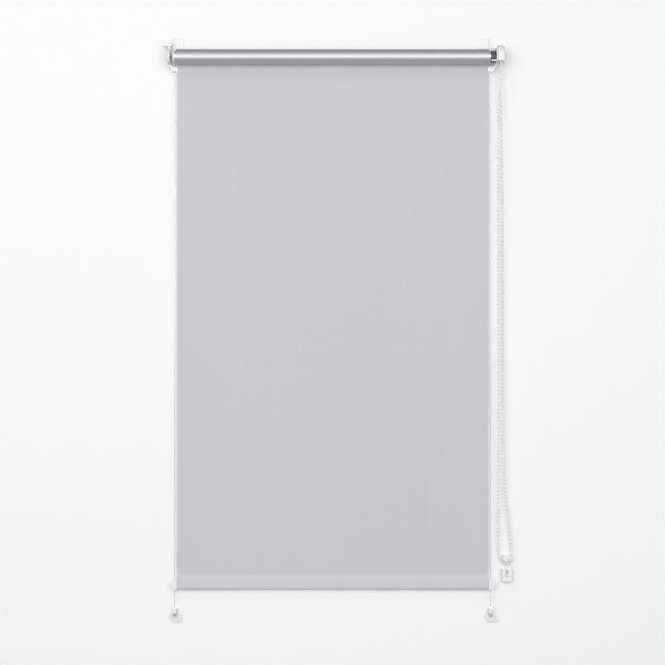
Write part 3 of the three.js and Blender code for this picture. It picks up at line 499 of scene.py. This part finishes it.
def soft_copy(name, node, radius, body, material):
    bm = bmesh.new()
    bm.from_mesh(nodes[node].data)
    bmesh.ops.remove_doubles(bm, verts=bm.verts, dist=SAME_PLACE)
    bmesh.ops.dissolve_limit(
        bm, angle_limit=math.radians(1.0), verts=bm.verts, edges=bm.edges, delimit={"SHARP"}
    )
    volume = bm.calc_volume()
    softened = 0
    if radius:
        rims = [
            e for e in bm.edges
            if e.is_manifold and e.calc_face_angle(0) > SHARP_FROM and e.calc_length() > SHORTEST_EDGE
        ]
        softened = len(rims)
        bmesh.ops.bevel(
            bm, geom=rims, offset=radius, offset_type="OFFSET", affect="EDGES",
            segments=2, profile=0.5, material=-1, clamp_overlap=False, loop_slide=True,
        )
    open_edges = sum(not e.is_manifold for e in bm.edges)
    kept = bm.calc_volume() / volume
    print(f"{name}: {softened} edges softened, volume kept {kept:.3f}, open {open_edges}")
    made = mesh_object(name, bm, smooth_angle=34)
    if radius:
        made.modifiers.new("even_shading", "WEIGHTED_NORMAL").keep_sharp = True
    return belongs(made, body, [node], material)


# %% Brackets, cover, caps and feet
SOFT_EDGE = 0.0003
THIN_EDGE = 0.0002
KEPT_EDGE = 0.0
white_parts = {
    "idle_bracket": ("left_bracket", "root", SOFT_EDGE),
    "drive_bracket": ("right_bracket", "root", SOFT_EDGE),
    "drive_cover_shell": ("drive_cover", "root", THIN_EDGE),
    "left_foot": ("left_foot_bracket", "root", SOFT_EDGE),
    "right_foot": ("right_foot_bracket", "root", SOFT_EDGE),
    "holder_body": ("chain_holder_base", "root", SOFT_EDGE),
    "holder_slider": ("chain_slider", "chain_slider", THIN_EDGE),
    "left_cap": ("left_bar_cap", "bottom_rail", THIN_EDGE),
    "right_cap": ("right_bar_cap", "bottom_rail", THIN_EDGE),
    "idle_end_plug": ("idle_plug", "roller", KEPT_EDGE),
    "bead_wheel": ("chain_wheel", "roller", KEPT_EDGE),
}
for name, (node, body, radius) in white_parts.items():
    soft_copy(name, node, radius, body, white_plastic)

# %% [markdown]
# The hooks are bent from zinc-plated steel strip, whose edges are only just broken, and the pads on
# their lips are soft rubber. The small turned parts keep their solid's shape and only get smooth
# shading.

# %% Hooks, pads and small turned parts
STRIP_EDGE = 0.00015
for clamp in ("left_top", "right_top", "left_foot", "right_foot"):
    hook, screw = f"{clamp}_hook", f"{clamp}_screw"
    soft_copy(f"{clamp}_strap", hook, STRIP_EDGE, hook, zinc_steel)
    soft_copy(f"{clamp}_cushion", f"{clamp}_pad", THIN_EDGE, hook, rubber_pad)
    soft_copy(f"{clamp}_clamp_screw", screw, KEPT_EDGE, screw, zinc_steel)
# The collar is a real part; its near-black finish is partly painted shade for the gap between the
# roll and the drive cover.
soft_copy("collar", "tube_adapter", KEPT_EDGE, "roller", dark_plastic)
soft_copy("pin", "idle_pin", KEPT_EDGE, "idle_pin", zinc_steel)

# %% [markdown]
# The idle pin is pushed into the roller against a spring to take the roller out of its bracket. The
# far end of the spring rests on a cap in the tube, and the near end follows the pin, so the coil
# shortens by the pin's travel. Here the coil only gets a mesh of its own.

# %% Idle spring
coil = soft_copy("idle_coil", "idle_spring", KEPT_EDGE, "roller", spring_steel)
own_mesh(coil)

# %% [markdown]
# ## What stays as it came
#
# Parts whose solid is already right only need their finish. Assigning to the object's material slot
# changes the look and leaves the mesh alone.

# %% Finishes for the parts that keep their mesh
kept_finish = {
    "aluminium": bar_aluminium,
    "zinc_steel": zinc_steel,
    "spring_steel": spring_steel,
    "dark_plastic": dark_plastic,
    "rubber": rubber_pad,
    "clear_wire": clear_nylon,
    "white_plastic": white_plastic,
}
for part in frame["record"]["subparts"]:
    look = kept_finish.get(part["material_slot"])
    solid_part = nodes[part["node"]]
    if look and not solid_part.hide_render:
        solid_part.data.materials.clear()
        solid_part.data.materials.append(look)
        print("kept", part["node"], "in", look.name)

# %% [markdown]
# ## The roll
#
# With the blind lowered, a few turns of cloth stay on the tube. A roll of cloth is a spiral, and its
# side shows it: thin dark gaps between turns, and turns that stand out a little further than their
# neighbours. We start from one edge at the tube, and spin it round the axis while it moves outwards
# by one thickness a turn. Spin can't grow a radius by itself, so each vertex is pushed out afterwards
# by how far round it is. The cloth in the roll is a little thinner than the step between turns, which
# leaves a dark line there.

# %% Roll of cloth
axis_y, axis_z = -0.021, -0.026
CLOTH = 0.0004
WOUND_CLOTH = CLOTH * 0.85
TURNS = 6.5
STEPS_A_TURN = 56
START_RADIUS, END_RADIUS = 0.00925, 0.01195
ROLL_HALF = 0.25
PARTS_ALONG = 24

bm = bmesh.new()
stations = [ROLL_HALF * (2 * i / PARTS_ALONG - 1) for i in range(PARTS_ALONG + 1)]
row = [bm.verts.new((x, axis_y + START_RADIUS, axis_z)) for x in stations]
seed = [bm.edges.new(pair) for pair in zip(row, row[1:])]
bmesh.ops.spin(
    bm, geom=row + seed, cent=(0, axis_y, axis_z), axis=(1, 0, 0),
    angle=math.tau * TURNS, steps=int(TURNS * STEPS_A_TURN), use_merge=False,
)

# %% [markdown]
# The operator leaves the rows in the order in which it made them, so a vertex's number says how far
# round it is. The ends of the turns wander in and out by half a millimetre. Raising the place along
# the roll to the eighth power keeps that to the last few centimetres.

# %% Grow the spiral and let its turns wander
random.seed(5)
wander = [random.uniform(-0.0005, 0.0006) for _ in range(int(TURNS) + 2)]
widest = END_RADIUS - CLOTH / 2
for k, vert in enumerate(bm.verts):
    turn = (k // len(stations)) / STEPS_A_TURN
    whole, part = int(turn), turn - int(turn)
    shift = wander[whole] * (1 - part) + wander[whole + 1] * part
    radius = START_RADIUS + (widest - START_RADIUS) * turn / TURNS
    arm = Vector((0, vert.co.y - axis_y, vert.co.z - axis_z)).normalized() * radius
    side = vert.co.x / ROLL_HALF
    outwards = math.copysign(0.9 * shift * abs(side) ** 8, shift * side)
    vert.co = (vert.co.x + outwards, axis_y + arm.y, axis_z + arm.z)
bmesh.ops.recalc_face_normals(bm, faces=bm.faces)
roll = mesh_object("cloth_roll", bm, smooth_angle=50)
thick = roll.modifiers.new("cloth_thickness", "SOLIDIFY")
thick.thickness, thick.offset = WOUND_CLOTH, 0.0
belongs(roll, "roller", ["fabric_roll"], silver_cloth)

# %% [markdown]
# ## The hanging cloth
#
# A coated cloth under the weight of its hem bar hangs almost flat. What gives it away as cloth is
# small: its cut edges curl almost a millimetre towards the window, faint long ripples run down from
# the roll, and it leaves the roll on a tangent instead of starting at a line. A fine grid takes all
# of that. Cloth simulation was an option, but a taut sheet would come out flat, so the curl and the
# ripples are put in directly.

# %% Cloth panel
panel_low, panel_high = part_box("fabric_panel")
panel_half = (panel_high.x - panel_low.x) / 2
panel_mid = (panel_low.y + panel_high.y) / 2
panel_drop = panel_high.z - panel_low.z
WRAP = math.radians(38)
wrap_radius = panel_mid - axis_y
wrap_length = WRAP * wrap_radius
EDGE_CURL = 0.0009
CURL_FROM = 0.965
ROLL_CALM, HEM_CALM = 0.09, 0.06


def lie_of_cloth(across_share, run):
    """How far the cloth stands from its plane: curl and ripples, calm near the roll and hem."""
    settle = min(run / ROLL_CALM, 1.0) * min((panel_drop - run) / HEM_CALM, 1.0)
    curl = EDGE_CURL * max(0.0, (abs(across_share) - CURL_FROM) / (1 - CURL_FROM)) ** 2
    broad = 0.00022 * math.sin(9.0 * across_share + 1.2 + 1.1 * math.sin(3.1 * run))
    fine = 0.00016 * math.sin(23.0 * across_share - 2.0 + 2.0 * math.cos(4.0 * run))
    return settle * (curl + broad + fine)


bm = bmesh.new()
bmesh.ops.create_grid(
    bm, x_segments=80, y_segments=150, size=0.5, matrix=Matrix.Rotation(math.radians(90), 4, "X")
)
for vert in bm.verts:
    across_share, down_share = vert.co.x * 2, 0.5 - vert.co.z
    run = down_share * (panel_drop + wrap_length) - wrap_length
    x = across_share * panel_half
    if run < 0:
        angle = -run / wrap_radius
        vert.co = (x, axis_y + wrap_radius * math.cos(angle), axis_z + wrap_radius * math.sin(angle))
    else:
        vert.co = (x, panel_mid + lie_of_cloth(across_share, run), panel_high.z - run)
bmesh.ops.recalc_face_normals(bm, faces=bm.faces)
if sum(f.normal.y for f in bm.faces) > 0:
    bmesh.ops.reverse_faces(bm, faces=bm.faces)
bmesh.ops.solidify(bm, geom=list(bm.faces), thickness=CLOTH)
depths = [v.co.y for v in bm.verts]
print("panel lies between Y", round(min(depths), 5), "and", round(max(depths), 5))
panel = mesh_object("cloth_panel", bm, smooth_angle=60)
belongs(panel, "root", ["fabric_panel"], grey_cloth)
panel.data.materials.append(silver_cloth)
for face in panel.data.polygons:
    glass_side = face.normal.y > 0.2 or (face.normal.z > 0.5 and face.center.y > axis_y)
    face.material_index = int(glass_side)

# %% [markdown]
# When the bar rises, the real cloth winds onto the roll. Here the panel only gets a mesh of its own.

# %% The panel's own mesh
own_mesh(panel)

# %% [markdown]
# ## The hem
#
# The cloth's lower end is folded back round a flat aluminium bar and welded to itself. The weld is a
# flat band two millimetres high with a fine row of tooth marks. Below it the two layers part over the
# bar's shoulder. The pocket's outline has ten corners. Bevelling the corners as vertices rounds them,
# extruding the outline along X makes the pocket, and Solidify gives it the cloth's thickness inwards.

# %% Hem pocket
hem_low, hem_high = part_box("hem_pocket")
hem_mid = (hem_low.y + hem_high.y) / 2
hem_half = (hem_high.y - hem_low.y) / 2
LAYERS = 0.00045
WELD_FOOT, SHOULDER_FOOT, ROUND_FROM = -0.0021, -0.0092, -0.0225
CORNER_ROUND = 0.0016
outline = [
    (LAYERS, 0.0), (LAYERS, WELD_FOOT), (hem_half, SHOULDER_FOOT), (hem_half, ROUND_FROM),
    (hem_half * 0.45, hem_low.z - hem_high.z),
]
bm = bmesh.new()
corners = [bm.verts.new((hem_low.x, hem_mid - y, hem_high.z + z)) for y, z in outline]
corners += [bm.verts.new((hem_low.x, hem_mid + y, hem_high.z + z)) for y, z in reversed(outline)]
for a, b in zip(corners, corners[1:] + corners[:1]):
    bm.edges.new((a, b))
rounded = [v for v in corners if v.co.z < hem_high.z - 0.001]
bmesh.ops.bevel(
    bm, geom=rounded, offset=CORNER_ROUND, affect="VERTICES", segments=5, profile=0.5, material=-1
)
loop = list(bm.edges)
hem_width = hem_high.x - hem_low.x
SLICES = 125
for _ in range(SLICES):
    grown = bmesh.ops.extrude_edge_only(bm, edges=loop)["geom"]
    moved = [g for g in grown if isinstance(g, bmesh.types.BMVert)]
    bmesh.ops.translate(bm, verts=moved, vec=(hem_width / SLICES, 0, 0))
    loop = [g for g in grown if isinstance(g, bmesh.types.BMEdge)]

# %% [markdown]
# The pocket isn't stiff, so its two faces lean a tenth of a millimetre to and fro along the bar. The
# weld at the top and the fold at the bottom stay straight, and the lean fades in and out between
# them.

# %% Let the pocket lean, and hang it on the bar
STRAIGHT_TOP, TOP_FADE, FOLD_FADE = 0.003, 0.004, 0.006
for vert in bm.verts:
    lean = 0.00012 * math.sin(vert.co.x * 61 + 0.7) + 0.0001 * math.sin(vert.co.x * 149)
    under_weld = min(max((hem_high.z - vert.co.z - STRAIGHT_TOP) / TOP_FADE, 0), 1)
    over_fold = min(max((vert.co.z - hem_low.z) / FOLD_FADE, 0), 1)
    vert.co.y += lean * under_weld * over_fold
bmesh.ops.recalc_face_normals(bm, faces=bm.faces)
hem = mesh_object("hem", bm, smooth_angle=40)
walls = hem.modifiers.new("cloth_thickness", "SOLIDIFY")
walls.thickness, walls.offset = CLOTH, -1.0
belongs(hem, "bottom_rail", ["hem_pocket"], hem_cloth)

# %% [markdown]
# The weld's teeth press a row of tiny marks. They are one piece of their own that lies on the weld: a
# row of thin raised bars, the cloth left between the marks. An Array modifier would also repeat the
# shape. Here we duplicate one bar in the bmesh, which keeps the row in one mesh.

# %% Weld marks
bm = bmesh.new()
MARK_PITCH = 0.002
MARK_SIZE = (0.0009, 0.00012, 0.0013)
PROUD = 0.00001
marks = int(hem_width / MARK_PITCH) - 4
first = bmesh.ops.create_cube(bm, size=1.0)["verts"]
bmesh.ops.scale(bm, vec=MARK_SIZE, verts=first)
start = Vector((-marks * MARK_PITCH / 2, hem_mid - LAYERS - PROUD, hem_high.z + WELD_FOOT / 2))
bmesh.ops.translate(bm, verts=first, vec=start)
unit = list(bm.verts) + list(bm.edges) + list(bm.faces)
for k in range(1, marks + 1):
    copied = bmesh.ops.duplicate(bm, geom=unit)["geom"]
    bmesh.ops.translate(
        bm, verts=[g for g in copied if isinstance(g, bmesh.types.BMVert)], vec=(k * MARK_PITCH, 0, 0)
    )
weld = mesh_object("weld_marks", bm, smooth_angle=30)
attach(weld, "bottom_rail")
weld.data.materials.append(hem_cloth)
print("weld marks", marks + 1)

# %% [markdown]
# ## The bead chain
#
# A blind's chain is an endless cord with plastic beads moulded on it every six millimetres. It hangs
# from the drive wheel in two strands. The left strand runs down to a small holder, round its saddle,
# and up again. The route below is the line of the cord. We run a smooth curve through its points,
# measure it, and share the beads out evenly, so that their spacing is the real one.

# %% The chain's route
CHAIN_ROUTE = [
    (0.2685, -0.03055, -0.035), (0.2684, -0.0305, -0.046), (0.2672, -0.0302, -0.062),
    (0.2654, -0.0296, -0.085), (0.2645, -0.0286, -0.12), (0.2643, -0.0266, -0.2),
    (0.2645, -0.0242, -0.3), (0.2649, -0.0216, -0.4), (0.2653, -0.0188, -0.5),
    (0.2656, -0.0158, -0.6), (0.2659, -0.0128, -0.7), (0.2661, -0.0106, -0.77),
    (0.2663, -0.009, -0.802), (0.2672, -0.0079, -0.818), (0.2697, -0.0074, -0.8306),
    (0.2734, -0.0074, -0.8369), (0.279, -0.0074, -0.8392), (0.2846, -0.0074, -0.8365),
    (0.2874, -0.0074, -0.8295), (0.287, -0.0074, -0.818), (0.2856, -0.0075, -0.8),
    (0.2836, -0.008, -0.778), (0.2806, -0.0085, -0.755), (0.2778, -0.0089, -0.728),
    (0.2758, -0.0092, -0.692), (0.2745, -0.0095, -0.64), (0.2736, -0.0098, -0.59),
    (0.2729, -0.0102, -0.5), (0.2727, -0.0106, -0.4), (0.2724, -0.0109, -0.3),
    (0.2718, -0.0112, -0.2), (0.2708, -0.0114, -0.13), (0.2694, -0.01145, -0.08),
    (0.2686, -0.01145, -0.05), (0.2685, -0.01145, -0.035),
]
BEAD = 0.0045
BEAD_PITCH = 0.006


def smooth_line(points, steps=12):
    """A centripetal Catmull-Rom curve through the points, as a closely spaced list."""
    points = [Vector(p) for p in points]
    ends = [2 * points[0] - points[1]] + points + [2 * points[-1] - points[-2]]
    line = []
    for p0, p1, p2, p3 in zip(ends, ends[1:], ends[2:], ends[3:]):
        knots = [0.0]
        for a, b in ((p0, p1), (p1, p2), (p2, p3)):
            knots.append(knots[-1] + max((b - a).length ** 0.5, 1e-6))
        t0, t1, t2, t3 = knots
        for k in range(steps):
            t = t1 + (t2 - t1) * k / steps
            a1 = p0.lerp(p1, (t - t0) / (t1 - t0))
            a2 = p1.lerp(p2, (t - t1) / (t2 - t1))
            a3 = p2.lerp(p3, (t - t2) / (t3 - t2))
            b1 = a1.lerp(a2, (t - t0) / (t2 - t0))
            b2 = a2.lerp(a3, (t - t1) / (t3 - t1))
            line.append(b1.lerp(b2, (t - t1) / (t2 - t1)))
    return line + [points[-1]]


def length_of(line):
    return sum((b - a).length for a, b in zip(line, line[1:]))


def along_line(line, distance):
    """(point, direction) at a distance along a line."""
    for a, b in zip(line, line[1:]):
        step = (b - a).length
        if distance <= step:
            return a.lerp(b, distance / step), (b - a).normalized()
        distance -= step
    return line[-1], (line[-1] - line[-2]).normalized()


chain_line = smooth_line(CHAIN_ROUTE)
chain_length = length_of(chain_line)
print("free chain is", round(chain_length, 4), "m")

# %% [markdown]
# A bead is a ball with a small neck where the mould closed on the cord. It is repeated hundreds of
# times, so it has fewer than a hundred faces, and it is made once: each copy of that small mesh is
# turned onto the cord and added to the chain. The cord between the beads is a thin six-sided tube. It
# starts as a circle, whose edge is extruded from point to point and turned a little each time.

# %% One bead
bm = bmesh.new()
bmesh.ops.create_uvsphere(bm, u_segments=12, v_segments=8, radius=BEAD / 2)
necks = [v for v in bm.verts if abs(v.co.z) > BEAD * 0.42]
bmesh.ops.scale(bm, vec=(1, 1, 1.07), verts=necks)
one_bead = bpy.data.meshes.new("one_bead")
bm.to_mesh(one_bead)
bm.free()
print("a bead has", len(one_bead.polygons), "faces")


# %% Cord and beads along a line
def facing(direction):
    """A turn that lays the Z axis along a direction."""
    return direction.to_track_quat("Z", "X").to_matrix().to_4x4()


def cord_along(line, radius, sides=6):
    """A tube round a line, closed at both ends, as a new bmesh."""
    bm = bmesh.new()
    here = Matrix.Translation(line[0]) @ facing(line[1] - line[0])
    bmesh.ops.create_circle(bm, cap_ends=True, radius=radius, segments=sides, matrix=here)
    rim = list(bm.edges)
    for k in range(1, len(line)):
        ahead = line[min(k + 1, len(line) - 1)] - line[k - 1]
        turn = here.to_3x3().col[2].rotation_difference(ahead.normalized()).to_matrix().to_4x4()
        there = Matrix.Translation(line[k]) @ turn @ here.to_quaternion().to_matrix().to_4x4()
        grown = bmesh.ops.extrude_edge_only(bm, edges=rim)["geom"]
        moved = [g for g in grown if isinstance(g, bmesh.types.BMVert)]
        bmesh.ops.transform(bm, matrix=there @ here.inverted(), verts=moved)
        rim = [g for g in grown if isinstance(g, bmesh.types.BMEdge)]
        here = there
    bmesh.ops.holes_fill(bm, edges=rim, sides=sides)
    bmesh.ops.recalc_face_normals(bm, faces=bm.faces)
    return bm


def thread_bead(bm, centre, direction, turned_by):
    """Adds one bead to a bmesh, with its hole along a direction."""
    placed = one_bead.copy()
    spun = Matrix.Rotation(turned_by, 4, "Z")
    placed.transform(Matrix.Translation(centre) @ facing(direction) @ spun)
    bm.from_mesh(placed)
    bpy.data.meshes.remove(placed)


def resampled(line, spacing):
    """The same line with its points about one spacing apart."""
    whole = length_of(line)
    count = max(2, round(whole / spacing))
    return [along_line(line, whole * k / count)[0] for k in range(count + 1)]


# %% The free chain
CORD_RADIUS = 0.0007
CORD_STEP = 0.004
cord_line = resampled(chain_line, CORD_STEP)
bm = cord_along(cord_line, CORD_RADIUS)
bead_count = round(chain_length / BEAD_PITCH)
pitch = chain_length / bead_count
random.seed(11)
for k in range(bead_count):
    thread_bead(bm, *along_line(chain_line, (k + 0.5) * pitch), random.uniform(0, math.tau))
chain = mesh_object("beads", bm, smooth_angle=60)
belongs(chain, "root", ["bead_chain"], chain_plastic)
print("beads", bead_count, "pitch", round(pitch * 1000, 3), "mm")

# %% Beads seated in the wheel
POCKETS = 10
wheel_middle = Vector((CHAIN_ROUTE[0][0], axis_y, axis_z))
pocket_radius = POCKETS * BEAD_PITCH / math.tau


def round_wheel(angle):
    """A point on the pocket circle: 0 is in front, a quarter turn on top, half a turn behind."""
    return wheel_middle + pocket_radius * Vector((0, -math.cos(angle), math.sin(angle)))


stubs = [0.0015 * k for k in range(1, 7)]
over_wheel = [round_wheel(0) - Vector((0, 0, drop)) for drop in reversed(stubs)]
over_wheel += [round_wheel(math.pi * k / 30) for k in range(31)]
over_wheel += [round_wheel(math.pi) - Vector((0, 0, drop)) for drop in stubs]
bm = cord_along(over_wheel, CORD_RADIUS)
for k in range(6):
    angle = math.pi * k / 5
    thread_bead(bm, round_wheel(angle), Vector((0, math.sin(angle), math.cos(angle))), 0.3 * k)
for angle in (0, math.pi):
    thread_bead(bm, round_wheel(angle) - Vector((0, 0, BEAD_PITCH)), Vector((0, 0, 1)), 1.0)
seated = mesh_object("beads_on_wheel", bm, smooth_angle=60)
belongs(seated, "root", ["chain_on_wheel"], chain_plastic)
bpy.data.meshes.remove(one_bead)

# %% [markdown]

# %% [markdown]
# ## Last look at the size
# Both boxes, the model's and the dressed blind's, are printed.

# %% Sizes, and the end
made_low, made_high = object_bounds()
corners = {"cad_low": cad_low, "cad_high": cad_high, "made_low": made_low, "made_high": made_high}
for name, corner in corners.items():
    print(name, [round(v, 4) for v in corner])
